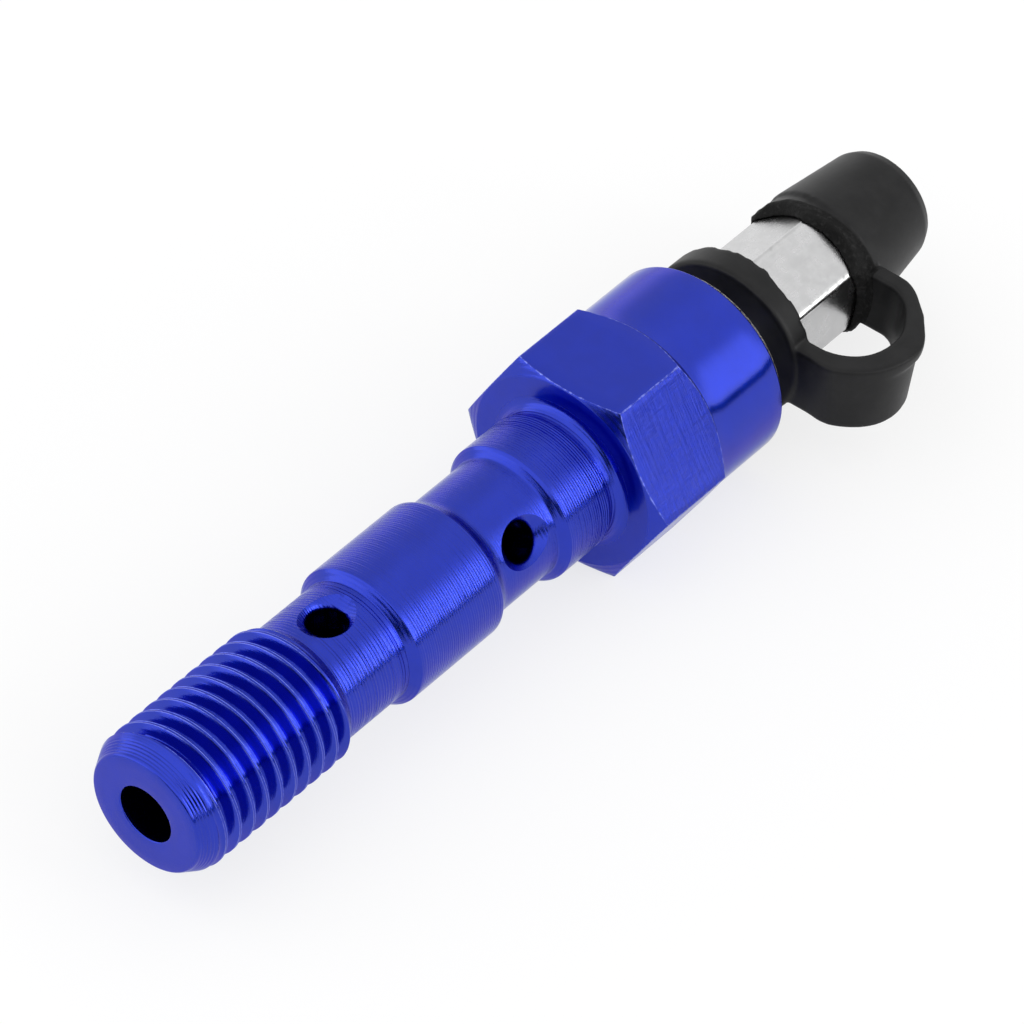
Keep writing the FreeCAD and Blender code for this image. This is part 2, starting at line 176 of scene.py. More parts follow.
def broken_edges(rows, widths):
    """Each inner corner gives way to three points: back by its width along the run before it, on by
    its width along the run after it, and a point between that is pulled halfway to the corner."""
    made = [rows[0]]
    for index in range(1, len(rows) - 1):
        corner, width = rows[index], widths[index]
        if width == 0:
            made.append(corner)
            continue
        before, after = rows[index - 1] - corner, rows[index + 1] - corner
        back = corner + width * before / np.maximum(np.linalg.norm(before, axis=0), 1e-9)
        on = corner + width * after / np.maximum(np.linalg.norm(after, axis=0), 1e-9)
        made += [back, (back + on) / 4 + corner / 2, on]
    made.append(rows[-1])
    return np.array(made)


def filled(rows, spacing):
    """More rows on each run, so that none is longer than the spacing."""
    made = [rows[:1]]
    for before, after in zip(rows[:-1], rows[1:]):
        length = np.linalg.norm(after - before, axis=0).max()
        share = np.linspace(0, 1, max(int(np.ceil(length / spacing)), 1) + 1)[1:, None, None]
        made.append(before + share * (after - before))
    return np.concatenate(made)


def turned(rows, angles):
    return round_points(rows[:, 0], rows[:, 1], angles)


# %% [markdown]
# ## The bolt's sizes
#
# All stations are in millimetres from the bolt's front face. The seating face under the head is the
# zero of the CAD model, so a station becomes a place by taking the seat's station away. The thread
# is an M10 with a pitch of 1.25 mm.

# %% Stations and radii of the bolt
SEAT = 38.8
PITCH = 1.25
CREST_RADIUS = 4.92
ROOT_RADIUS = 4.2
ROOT_STATION = 0.4704
LEAD_RADIUS = 4.15
LEAD_END = 1.4
FRONT_ROUND = 0.12
THREAD_FADES_IN = (0.75, 2.3)
THREAD_FADES_OUT = (12.3, 13.55)
THREAD_END = 12.9
RUNOUT_END = 13.7
WAIST_RADIUS = 4.3
WAIST_ONE_END = 19.15
LAND_ONE = (19.6, 27.25)
WAIST_TWO = (28.1, 33.35)
LAND_TWO = (33.8, 37.5)
RELIEF_RADIUS = 4.62
SEAT_FILLET = 0.85
HEX_APOTHEM = 7.0
COLLAR_RADIUS = 6.9
HEX_END = 46.05
COLLAR_CHAMFER = 0.6
BOLT_END = 52.9
BORE_RADIUS = 2.0
BORE_CHAMFER = 0.06
TAP_RADIUS = 3.55
TAP_CHAMFER = 0.35
TAP_DEPTH = 7.65
SEAT_CONE_DEPTH = 9.2
print("turns of thread:", round((THREAD_END - LEAD_END) / PITCH, 1))

# %% [markdown]
# ## The thread
#
# A thread is a groove that climbs one pitch a turn. Rows that follow the helix keep its crests crisp
# with few points: row k has the station start + pitch (k + angle / turn). Rows that would leave the
# threaded stretch are held at its ends, where they fall together and are welded.

# %% Shape of the groove
CREST_SHARE = 0.07
ROOT_SHARE = 0.12
BURR = 0.04
BURR_WIDTH = 0.016
ROUNDED_SHARE = 0.18
TURN_PHASES = np.array(
    [0, 0.06, 0.105, 0.135, 0.18, 0.25, 0.34, 0.4, 0.418, 0.43, 0.445, 0.47, 0.5]
)
TURN_PHASES = np.concatenate([TURN_PHASES, 1 - TURN_PHASES[1:-1][::-1]])


def ease(value, low, high):
    """0 below low, 1 above high, and a smooth rise between."""
    share = np.clip((value - low) / (high - low), 0, 1)
    return share * share * (3 - 2 * share)


def groove(phase):
    """1 at the groove's floor, 0 at the crest's two edges, with straight flanks and slightly rounded
    corners. The phase is 0 on the floor and 0.5 on the crest, and repeats every whole number. The
    crest sinks a little between its edges, because the die raises a fine burr along them."""
    away = np.abs((phase + 0.5) % 1 - 0.5)
    edge = 0.5 - CREST_SHARE
    flank = np.clip((away - ROOT_SHARE) / (edge - ROOT_SHARE), 0, 1)
    rounded = flank * flank * (3 - 2 * flank)
    hollow = BURR * (1 - np.exp(-(((away - edge) / BURR_WIDTH) ** 2))) * (away > edge)
    return 1 - ((1 - ROUNDED_SHARE) * flank + ROUNDED_SHARE * rounded) + hollow


def thread_radius(stations, angles):
    """Radius on the threaded stretch: the lead cone, the run-out cone and the groove between them,
    which fades in behind the lead and out before the waist."""
    phase = (stations - ROOT_STATION) / PITCH - angles / TURN
    depth = ease(stations, *THREAD_FADES_IN) * (1 - ease(stations, *THREAD_FADES_OUT))
    threaded = CREST_RADIUS - depth * (CREST_RADIUS - ROOT_RADIUS) * groove(phase)
    lead = LEAD_RADIUS + (CREST_RADIUS - LEAD_RADIUS) * stations / LEAD_END
    runout_share = (stations - THREAD_END) / (RUNOUT_END - THREAD_END)
    runout = CREST_RADIUS - (CREST_RADIUS - WAIST_RADIUS) * runout_share
    cones = np.minimum(np.minimum(lead, runout), CREST_RADIUS)
    return np.minimum(cones, threaded)


def rings(stations, start, end, pitch, depth):
    """Turned rings between two stations: how far the surface lies below its crown."""
    inside = ease(stations, start, start + pitch) * (1 - ease(stations, end - pitch, end))
    return depth * inside * (0.5 - 0.5 * np.cos(TURN * (stations - start) / pitch))


# %% Rows of the thread
HELIX_START = 1.5
HELIX_END = 13.0
LEAD_RINGS = {"start": 0.14, "end": 1.1, "pitch": 0.19, "depth": 0.05}
turns = np.arange(-2, int((HELIX_END - HELIX_START) / PITCH) + 2)
phases = (turns[:, None] + TURN_PHASES).ravel()
phases = np.append(phases, turns[-1] + 1)
climb = angles / TURN
helix_base = ROOT_STATION + PITCH * np.ceil((HELIX_START - ROOT_STATION) / PITCH)
helix = np.clip(helix_base + PITCH * (phases[:, None] + climb), HELIX_START, HELIX_END)
helix_radii = thread_radius(helix, angles)

lead = np.linspace(0, HELIX_START, 61)[:, None] + 0 * angles
lead_radii = thread_radius(lead, angles) - rings(lead, **LEAD_RINGS)
front_round = np.clip(1 - lead / FRONT_ROUND, 0, 1)
lead_radii -= FRONT_ROUND * (1 - np.sqrt(1 - front_round**2))
runout = np.linspace(HELIX_END, RUNOUT_END, 15)[:, None] + 0 * angles
runout_radii = thread_radius(runout, angles)
print("rows of the thread:", len(helix) + len(lead) + len(runout))

# %% [markdown]
# ## Waists, lands and the seat
#
# Behind the thread come two waists for the oil and two lands that centre the banjo eyes. On the real
# bolt the first waist was turned with a coarse feed, which left rings one can count, so those rings
# are in the mesh. The finer marks on the lands are left to the material.

# %% Rows from the first waist to the seating face
RING_PITCH = 0.25
RING_DEPTH = 0.021
WAIST_RINGS_END = WAIST_ONE_END - 0.1
LAST_RINGS = (LAND_TWO[1] - 0.75, LAND_TWO[1] - 0.02)
LAST_RING_PITCH = 0.18
LAST_RING_DEPTH = 0.022


def straight(start, end, count, radius):
    """Evenly spaced rows of one radius."""
    stations = np.linspace(start, end, count)[:, None] + 0 * angles
    return stations, np.full_like(stations, radius)


waist_rings, waist_ring_radii = straight(RUNOUT_END, WAIST_RINGS_END, 172, WAIST_RADIUS)
waist_ring_radii -= rings(waist_rings, RUNOUT_END, WAIST_RINGS_END, RING_PITCH, RING_DEPTH)
middle = broken_edges(
    outline(
        [
            (WAIST_RINGS_END, WAIST_RADIUS),
            (WAIST_ONE_END, WAIST_RADIUS),
            (LAND_ONE[0], CREST_RADIUS),
            (LAND_ONE[1], CREST_RADIUS),
            (WAIST_TWO[0], WAIST_RADIUS),
            (WAIST_TWO[1], WAIST_RADIUS),
            (LAND_TWO[0], CREST_RADIUS),
            (LAST_RINGS[0], CREST_RADIUS),
        ],
        angles,
    ),
    [0, 0.05, 0.1, 0.12, 0.3, 0.1, 0.08, 0],
)
middle = filled(middle, 0.3)
last_rings, last_ring_radii = straight(*LAST_RINGS, 30, CREST_RADIUS)
last_ring_radii -= rings(last_rings, *LAST_RINGS, LAST_RING_PITCH, LAST_RING_DEPTH)
quarter = np.linspace(-np.pi / 2, 0, 9)
fillet = [
    (SEAT - SEAT_FILLET + SEAT_FILLET * np.cos(a), RELIEF_RADIUS + SEAT_FILLET * (1 + np.sin(a)))
    for a in quarter
]
print("rows of the middle:", len(waist_rings) + len(middle) + len(last_rings))

# %% [markdown]
# ## The hexagon
#
# The head is a round bar with six flats milled on it. Before milling, both its edges were turned to
# cones. Where a cone meets a flat, the border is a curve: at each column the flat's radius is the
# apothem divided by the cosine of the angle from the flat's middle, and the border lies where the
# cone has that radius. The rows follow this border, so the curve comes out clean.

# %% Rows of the head
FRONT_SLOPE = np.tan(np.radians(25))
BACK_SLOPE = np.tan(np.radians(40))


def hexagon_radius(angles, apothem, first_corner=0.0, corner_break=CORNER_BREAK):
    """Radius of a hexagon at each column, with its corners cut back a little."""
    from_flat = (angles - first_corner) % (TURN / 6) - TURN / 12
    corner = apothem / np.cos(TURN / 12 - corner_break)
    return np.minimum(apothem / np.cos(from_flat), corner)


head_radius = hexagon_radius(angles, HEX_APOTHEM)
front_border = SEAT + (head_radius - COLLAR_RADIUS) * FRONT_SLOPE
back_border = HEX_END - (head_radius - COLLAR_RADIUS) * BACK_SLOPE
head = broken_edges(
    outline(
        [
            (LAST_RINGS[1], CREST_RADIUS),
            (LAND_TWO[1] + 0.2, RELIEF_RADIUS),
            *fillet,
            (SEAT, COLLAR_RADIUS),
            (front_border, head_radius),
            (back_border, head_radius),
            (HEX_END, COLLAR_RADIUS),
            (BOLT_END - COLLAR_CHAMFER, COLLAR_RADIUS),
            (BOLT_END, COLLAR_RADIUS - COLLAR_CHAMFER),
            (BOLT_END, TAP_RADIUS + TAP_CHAMFER),
            (BOLT_END - TAP_CHAMFER, TAP_RADIUS),
            (BOLT_END - TAP_DEPTH, TAP_RADIUS),
            (BOLT_END - SEAT_CONE_DEPTH, BORE_RADIUS),
        ],
        angles,
    ),
    [0, 0.04] + [0] * len(fillet) + [0.03, 0.03, 0.03, 0.03, 0.06, 0.04, 0.03, 0.03, 0.1, 0],
)
head = filled(head, 1.2)
bore = filled(
    broken_edges(
        outline(
            [
                (BOLT_END - SEAT_CONE_DEPTH, BORE_RADIUS),
                (BORE_CHAMFER, BORE_RADIUS),
                (0.0, BORE_RADIUS + BORE_CHAMFER),
                (0.0, LEAD_RADIUS - FRONT_ROUND),
            ],
            angles,
        ),
        [0, 0.02, 0.02, 0],
    ),
    0.8,
)
print("rows of the head and the bore:", len(head) + len(bore))

# %% [markdown]
# ## Cross holes
#
# Oil leaves through one hole in each waist. They go right through, and a countersink breaks their
# mouths. A drill's path is solid, so each is modelled as the metal that the drill takes away, and a
# Boolean modifier subtracts it.

# %% Drill paths
DRILL_RADIUS = 1.25
SINK_RADIUS = 2.05
SINK_DEPTH = 0.6
OVERSHOOT = 0.8


def drill_path(name, station, clock, drill, sink, crown, sink_depth):
    """A spool across the axis: the drill's cylinder with a cone flaring out at both mouths.
    The clock angle runs from the top towards -Y."""
    if sink > drill:
        flare = (sink - drill) / sink_depth
        rim = drill + flare * (sink_depth + OVERSHOOT)
        half = [(crown + OVERSHOOT, 0), (crown + OVERSHOOT, rim), (crown - sink_depth, drill)]
        widths = [0, 0, 0.25]
    else:
        half = [(crown + OVERSHOOT, 0), (crown + OVERSHOOT, drill)]
        widths = [0, 0]
    mirrored = [(-height, radius) for height, radius in half[::-1]]
    spin = np.linspace(0, TURN, 65)
    rows = broken_edges(outline(half + mirrored, spin), widths + widths[::-1])
    height, radius = rows[:, 0], rows[:, 1]
    clock = np.radians(clock)
    out = np.array([0, -np.sin(clock), np.cos(clock)])
    side = np.array([0, np.cos(clock), np.sin(clock)])
    along = np.array([1.0, 0, 0])
    points = (
        height[..., None] * out
        + (radius * np.cos(spin))[..., None] * along
        + (radius * np.sin(spin))[..., None] * side
        + np.array([station, 0, 0])
    )
    path = new_piece(name, welded_mesh(name, [MM * points]))
    face_outwards(path.data)
    return path


def cut(piece, tools):
    """Subtracts each tool from a piece and keeps the result as the piece's own mesh."""
    for tool in tools:
        modifier = piece.modifiers.new(tool.name, "BOOLEAN")
        modifier.operation = "DIFFERENCE"
        modifier.solver = "EXACT"
        modifier.object = tool
    keep_result(piece)
    for tool in tools:
        bpy.data.objects.remove(tool)


def keep_result(piece):
    """Applies a piece's modifiers."""
    graph = bpy.context.evaluated_depsgraph_get()
    result = bpy.data.meshes.new_from_object(piece.evaluated_get(graph))
    piece.modifiers.clear()
    piece.data = result


# %% The bolt's mesh
bolt_grids = [
    round_points(lead - SEAT, lead_radii, angles),
    round_points(helix - SEAT, helix_radii, angles),
    round_points(runout - SEAT, runout_radii, angles),
    round_points(waist_rings - SEAT, waist_ring_radii, angles),
    turned(middle - [[SEAT], [0]], angles),
    round_points(last_rings - SEAT, last_ring_radii, angles),
    turned(head - [[SEAT], [0]], angles),
    turned(bore - [[SEAT], [0]], angles),
]
bolt = new_piece("blue_banjo_bolt", welded_mesh("blue_banjo_bolt", bolt_grids))
HOLE_ONE = (RUNOUT_END + WAIST_ONE_END) / 2
HOLE_TWO = (WAIST_TWO[0] + WAIST_TWO[1]) / 2
drill_and_sink = (DRILL_RADIUS, SINK_RADIUS, WAIST_RADIUS, SINK_DEPTH)
cut(
    bolt,
    [
        drill_path(name, station - SEAT, clock, *drill_and_sink)
        for name, station, clock in (("hole_one", HOLE_ONE, 0), ("hole_two", HOLE_TWO, 60))
    ],
)
shade(bolt.data)
print("bolt faces:", len(bolt.data.polygons))

# %% [markdown]
# ## The bleed nipple
#
# The nipple is a second turning with its own small hexagon, whose corners stand up and down. Inside
# the bolt it has an M7 thread and a cone that closes on the bolt's seat. The hose end with its barb
# is hidden by the cap, and shows when the cap is pulled off.

# %% Sizes and rows of the nipple
NIPPLE_TIP = 5.157
NIPPLE_THREAD = (8.1, 13.7)
NIPPLE_HEX = (18.2, 25.6)
NIPPLE_APOTHEM = 4.0
NIPPLE_EDGE = 3.85
NIPPLE_BREAK = 0.03
NIPPLE_THREAD_RADIUS = 3.5
NIPPLE_THREAD_DEPTH = 0.6
NIPPLE_CORE = 2.6
NECK_RADIUS = 2.95
HOSE_RADIUS = 2.4
BARB_START = 27.1
BARB_RADIUS = 3.1
BARB_END = 30.8
TIP_RADIUS = 2.2
HOSE_END = 31.8
HOSE_BORE = 1.1
HOSE_BORE_END = 7.16
nipple_angles = column_angles(TURN / 12, NIPPLE_BREAK)
nipple_hex = hexagon_radius(nipple_angles, NIPPLE_APOTHEM, TURN / 12, NIPPLE_BREAK)
nipple_slope = np.tan(np.radians(30))
nipple_rise = (nipple_hex - NIPPLE_EDGE) * nipple_slope


def small_thread_radius(stations, angles):
    """The nipple's M7 x 1 thread, which fades in and out at its ends."""
    depth = ease(stations, 8.3, 9.0) * (1 - ease(stations, 13.0, 13.6))
    return NIPPLE_THREAD_RADIUS - NIPPLE_THREAD_DEPTH * depth * groove(stations - angles / TURN)


nipple_front = broken_edges(
    outline(
        [
            (NIPPLE_TIP, 0),
            (NIPPLE_TIP, TIP_RADIUS),
            (NIPPLE_TIP + 0.4, NIPPLE_CORE),
            (NIPPLE_THREAD[0], NIPPLE_CORE),
            (NIPPLE_THREAD[0], 3.3),
            (NIPPLE_THREAD[0] + 0.2, NIPPLE_THREAD_RADIUS),
        ],
        nipple_angles,
    ),
    [0, 0.03, 0.05, 0.05, 0.03, 0],
)
turn_count = np.arange(-2, 7)
small_phases = (turn_count[:, None] + TURN_PHASES).ravel()
small_helix = np.clip(
    9.0 + small_phases[:, None] + nipple_angles / TURN,
    NIPPLE_THREAD[0] + 0.2,
    NIPPLE_THREAD[1] - 0.1,
)
nipple_back = broken_edges(
    outline(
        [
            (NIPPLE_THREAD[1] - 0.1, NIPPLE_THREAD_RADIUS),
            (NIPPLE_THREAD[1], 3.4),
            (NIPPLE_THREAD[1], NECK_RADIUS),
            (NIPPLE_HEX[0], NECK_RADIUS),
            (NIPPLE_HEX[0], NIPPLE_EDGE),
            (NIPPLE_HEX[0] + nipple_rise, nipple_hex),
            (NIPPLE_HEX[1] - nipple_rise, nipple_hex),
            (NIPPLE_HEX[1], NIPPLE_EDGE),
            (NIPPLE_HEX[1], HOSE_RADIUS),
            (BARB_START, HOSE_RADIUS),
            (BARB_START, BARB_RADIUS),
            (BARB_END, TIP_RADIUS),
            (HOSE_END, TIP_RADIUS),
            (HOSE_END, HOSE_BORE),
            (HOSE_BORE_END, HOSE_BORE),
            (HOSE_BORE_END, 0),
        ],
        nipple_angles,
    ),
    [0, 0.03, 0.05, 0.1, 0.03, 0.04, 0.04, 0.03, 0.1, 0.08, 0.08, 0.2, 0.25, 0.06, 0.05, 0],
)
nipple_grids = [
    turned(nipple_front, nipple_angles),
    round_points(small_helix, small_thread_radius(small_helix, nipple_angles), nipple_angles),
    turned(filled(nipple_back, 1.5), nipple_angles),
]
nipple = new_piece("plated_nipple", welded_mesh("plated_nipple", nipple_grids))
cut(nipple, [drill_path("bleed_hole", 7.157, 0, 0.8, 0.8, 4.4, 0.4)])
shade(nipple.data)
print("nipple faces:", len(nipple.data.polygons))

# %% [markdown]
# ## The dust cap
#
# The cap is one rubber moulding. A ring sits on the nipple's neck, a hood covers the hose end, and a
# strap joins them. Strap and hood were moulded in a line, so with the hood on, the strap stands out
# in a loop. Ring and hood are turned surfaces, slightly uneven where the rubber was trimmed by
# hand, and the strap is a profile carried along a path.

# %% Ring
RING = (16.1, 18.05)
RING_INNER = 3.0
RING_OUTER = 5.74
RING_SLANT = 0.35
cap_angles = np.linspace(0, TURN, 169)
to_strap = np.clip(-np.cos(cap_angles), 0, 1)


def softly_uneven(angles, stations, seed, scale):
    """A sum of a few waves round and along the axis, which stands for hand-trimmed rubber."""
    draw = np.random.default_rng(seed)
    total = 0
    for turns_round in (3, 5, 9, 14, 23, 37):
        shift = draw.uniform(0, TURN, 2)
        total = total + np.sin(turns_round * angles + shift[0] + 4 * np.sin(stations * 5 + shift[1]))
    return scale * total / 6


ring_front = RING[0] + RING_SLANT * to_strap**1.5
ring_rows = broken_edges(
    outline(
        [
            (17.1, RING_INNER),
            (ring_front, RING_INNER),
            (ring_front, RING_OUTER),
            (RING[1], RING_OUTER - 0.03),
            (RING[1], RING_INNER),
            (17.1, RING_INNER),
        ],
        cap_angles,
    ),
    [0, 0.12, 0.28, 0.14, 0.12, 0],
)
ring_rows = filled(ring_rows, 0.3)
trimmed = ease(ring_rows[:, 0], 17.6, 17.95) * ease(ring_rows[:, 1], 4.9, 5.3)
ring_rows[:, 0] += trimmed * (0.06 + softly_uneven(cap_angles, ring_rows[:, 1], 3, 0.34))
print("rows of the ring:", len(ring_rows))

# %% [markdown]
# The hood's mouth is stretched over the nipple's hexagon, so its inner rim follows the flats: where
# the hexagon is nearer the axis, the rim lies nearer too and a little further back. Behind it a
# rough lip leads to the smooth barrel. The barrel's front edge runs at a slant round the cap.

# %% Hood
MOUTH = 24.05
HOOD_END = 33.6
CAVITY = 3.3
CAVITY_START = 26.1
CAVITY_END = 32.4
RIM_GAP = 0.05
RECESS = 4.67
RIM_BULGE = 1.2
LIP_RADIUS = 4.93
LIP_BACK = (1.4, 4.84)
GROOVE_RADIUS = 4.68
BARREL_RADIUS = 4.87
BARREL_START = 26.05
BARREL_SLANT = 0.55
END_RADIUS = 3.93
rim_radius = RIM_GAP + hexagon_radius(cap_angles, NIPPLE_APOTHEM, TURN / 12, NIPPLE_BREAK)
rim_station = MOUTH + RIM_BULGE * (rim_radius.max() - rim_radius)
barrel_start = BARREL_START + BARREL_SLANT * np.clip(np.cos(cap_angles) + 0.1, 0, 1)
hood_rows = broken_edges(
    outline(
        [
            (CAVITY_END, 0),
            (CAVITY_END, CAVITY),
            (CAVITY_START, CAVITY),
            (25.8, RECESS - 0.6),
            (25.25, RECESS - 0.03),
            (rim_station + 0.15, rim_radius),
            (rim_station, rim_radius + 0.02),
            (rim_station + 0.42, LIP_RADIUS),
            (MOUTH + LIP_BACK[0], LIP_BACK[1]),
            (barrel_start - 0.18, GROOVE_RADIUS),
            (barrel_start, BARREL_RADIUS),
            (HOOD_END - 0.1, END_RADIUS),
            (HOOD_END, 0),
        ],
        cap_angles,
    ),
    [0, 0.3, 0.2, 0.1, 0.1, 0, 0.04, 0.16, 0.25, 0.06, 0.1, 0.95, 0],
)
hood_rows = filled(hood_rows, 0.3)
outside = ease(hood_rows[:, 1], GROOVE_RADIUS, 4.8)
lip = outside * (1 - ease(hood_rows[:, 0], barrel_start - 0.1, barrel_start + 0.1))
hood_rows[:, 1] += lip * softly_uneven(cap_angles, hood_rows[:, 0], 11, 0.13)
hood_rows[:, 0] += lip * softly_uneven(cap_angles, hood_rows[:, 1], 12, 0.06)
print("rows of the hood:", len(hood_rows))

# %% [markdown]
# The hood of the real cap sits slightly askew on the hose end. Its grid is sheared by a small share
# of the distance from the mouth, away from the strap.

# %% A hood that sits askew
LEAN = 0.037
LEAN_TOWARDS = np.array([0, 0.84, 0.54])


def askew(points):
    """Moves points behind the hood's mouth sideways in proportion to their distance from it."""
    behind = np.clip(points[..., 0] - MOUTH * MM, 0, None)
    return points + LEAN * behind[..., None] * LEAN_TOWARDS


ring_grid = turned(ring_rows, cap_angles)
hood_grid = askew(turned(hood_rows, cap_angles))

# %% [markdown]
# The strap's section is a rounded rectangle. On its outside a thin flange stands out along the
# top, where the mould parted. Its outer and inner faces keep their own distances from the middle
# of the bend. The bend is round at the ring's side and pulled flatter at the hood's side, where
# the strap is narrower and its lower edge leans in.

# %% Strap
BEND_CENTRE = (21.4, -6.3)
STRAP_TOP = 2.0
STRAP_BOTTOM = -2.85
STRAP_RISE = 1.0
STRAP_LEAN = 0.75
STRAP_ROUND = 0.2
FLANGE = 0.75
FLANGE_STEP = 0.3
RING_ROOT = -4.4
HOOD_ROOT = -4.55
OUTER_REACH = 5.19
INNER_REACH = 3.5
BEND_ROWS = 91
LEG_ROWS = 8
CORNER_POINTS = 5
SIDE_POINTS = 24


def section_corners():
    """Places round the section: how far out (0 to 1), how far up (0 to 1), and the rounding's
    own offsets outwards and upwards, in millimetres."""
    corner = np.linspace(0, np.pi / 2, CORNER_POINTS)
    out_share, up_share, out_round, up_round = [], [], [], []
    for out, up, quarter_turn in ((1, 1, 0), (0, 1, 1), (0, 0, 2), (1, 0, 3)):
        angle = corner + quarter_turn * np.pi / 2
        out_share.append(np.full(CORNER_POINTS, out))
        up_share.append(np.full(CORNER_POINTS, up))
        out_round.append(STRAP_ROUND * (np.cos(angle) - (2 * out - 1)))
        up_round.append(STRAP_ROUND * (np.sin(angle) - (2 * up - 1)))
    side = np.linspace(0.08, 0.92, SIDE_POINTS)
    out_share.append(np.ones(SIDE_POINTS))
    up_share.append(side)
    out_round.append(np.zeros(SIDE_POINTS))
    up_round.append(np.zeros(SIDE_POINTS))
    places = [np.concatenate(part) for part in (out_share, up_share, out_round, up_round)]
    return [np.append(part, part[0]) for part in places]


def with_legs(bend):
    """Values along the bend, with the first and last repeated for the straight legs."""
    return np.concatenate([np.full(LEG_ROWS, bend[0]), bend, np.full(LEG_ROWS, bend[-1])])


bend = np.linspace(180, 360, BEND_ROWS)
outer = OUTER_REACH - 0.4 * (1 - ease(bend, 180, 205)) - 0.58 * ease(bend, 270, 308)
outer = with_legs(outer + 0.6 * ease(bend, 322, 360))
inner = with_legs(INNER_REACH - 0.2 * ease(bend, 220, 275) + 0.7 * ease(bend, 304, 365))
turn = with_legs(bend)
leg = np.linspace(0, 1, LEG_ROWS + 1)[:-1]
leg_y = np.concatenate(
    [
        (1 - leg) * (RING_ROOT - BEND_CENTRE[1]),
        np.zeros(BEND_ROWS),
        (1 - leg[::-1]) * (HOOD_ROOT - BEND_CENTRE[1]),
    ]
)
heading = np.radians(turn)[:, None]
out_share, up_share, out_round, up_round = section_corners()
bottom = STRAP_BOTTOM + STRAP_RISE * ease(turn, 255, 345)[:, None]
height = bottom + up_share * (STRAP_TOP - bottom) + up_round
below_top = STRAP_TOP - height
flange_step = FLANGE_STEP * ease(turn, 235, 290)[:, None] * ease(below_top, FLANGE, FLANGE + 0.35)
lean = STRAP_LEAN * ease(turn, 225, 300)[:, None] * below_top / (STRAP_TOP - bottom)
lean = lean + out_share * flange_step
reach = inner[:, None] + out_share * (outer - inner)[:, None] + out_round - lean
strap_grid = MM * np.stack(
    [
        BEND_CENTRE[0] + reach * np.cos(heading),
        BEND_CENTRE[1] + reach * np.sin(heading) + leg_y[:, None],
        height,
    ],
    axis=-1,
)
ends = [strap_grid[end] for end in (0, -1)]
caps = [np.stack([end, 0 * end + end.mean(axis=0)]) for end in ends]
print("strap sections:", len(turn))

# %% [markdown]
# The three forms become one moulding. A remesh over small cells melts them together, and a little
# smoothing rounds the inner corners where rubber would flow.

# %% One moulding
MOULD_CELL = 0.000115


def closed_piece(name, grids):
    """A closed piece whose faces are turned outwards."""
    mesh = welded_mesh(name, grids)
    face_outwards(mesh)
    return new_piece(name, mesh)


cap = closed_piece("rubber_dust_cap", [strap_grid, *caps, ring_grid, hood_grid])
melt = cap.modifiers.new("melt", "REMESH")
melt.mode = "VOXEL"
melt.voxel_size = MOULD_CELL
melt.adaptivity = 0
soften = cap.modifiers.new("soften", "SMOOTH")
soften.factor = 0.5
soften.iterations = 5
keep_result(cap)
shade(cap.data, np.radians(60))
print("cap faces:", len(cap.data.polygons))

# %% [markdown]
# ## Shader sums
#
# Node trees get long, so materials are written as sums. A Wire stands for the output of a node, and
# adding, multiplying or comparing two wires makes the Math node that does it.

# %% A small shader language
class Wire:
    """An output of a node that can be used in sums."""

    def __init__(self, finish, socket):
        self.finish = finish
        self.socket = socket

    def sum_with(self, operation, *values):
        return self.finish.add("ShaderNodeMath", {"operation": operation}, dict(enumerate(values)))

    def __add__(self, other):
        return self.sum_with("ADD", self, other)

    __radd__ = __add__

    def __sub__(self, other):
        return self.sum_with("SUBTRACT", self, other)

    def __rsub__(self, other):
        return self.sum_with("SUBTRACT", other, self)

    def __mul__(self, other):
        return self.sum_with("MULTIPLY", self, other)

    __rmul__ = __mul__

    def __truediv__(self, other):
        return self.sum_with("DIVIDE", self, other)

    def __gt__(self, other):
        return self.sum_with("GREATER_THAN", self, other)

    def __lt__(self, other):
        return self.sum_with("LESS_THAN", self, other)

    def sine(self):
        return self.sum_with("SINE", self)

    def size(self):
        return self.sum_with("ABSOLUTE", self)

    def root(self):
        return self.sum_with("SQRT", self)

    def lower(self, other):
        return self.sum_with("MINIMUM", self, other)

    def higher(self, other):
        return self.sum_with("MAXIMUM", self, other)

    def rise(self, low, high):
        """0 below low, 1 above high, and a smooth rise between."""
        settings = {"interpolation_type": "SMOOTHSTEP"}
        values = {"Value": self, "From Min": low, "From Max": high, "To Min": 0.0, "To Max": 1.0}
        return self.finish.add("ShaderNodeMapRange", settings, values)


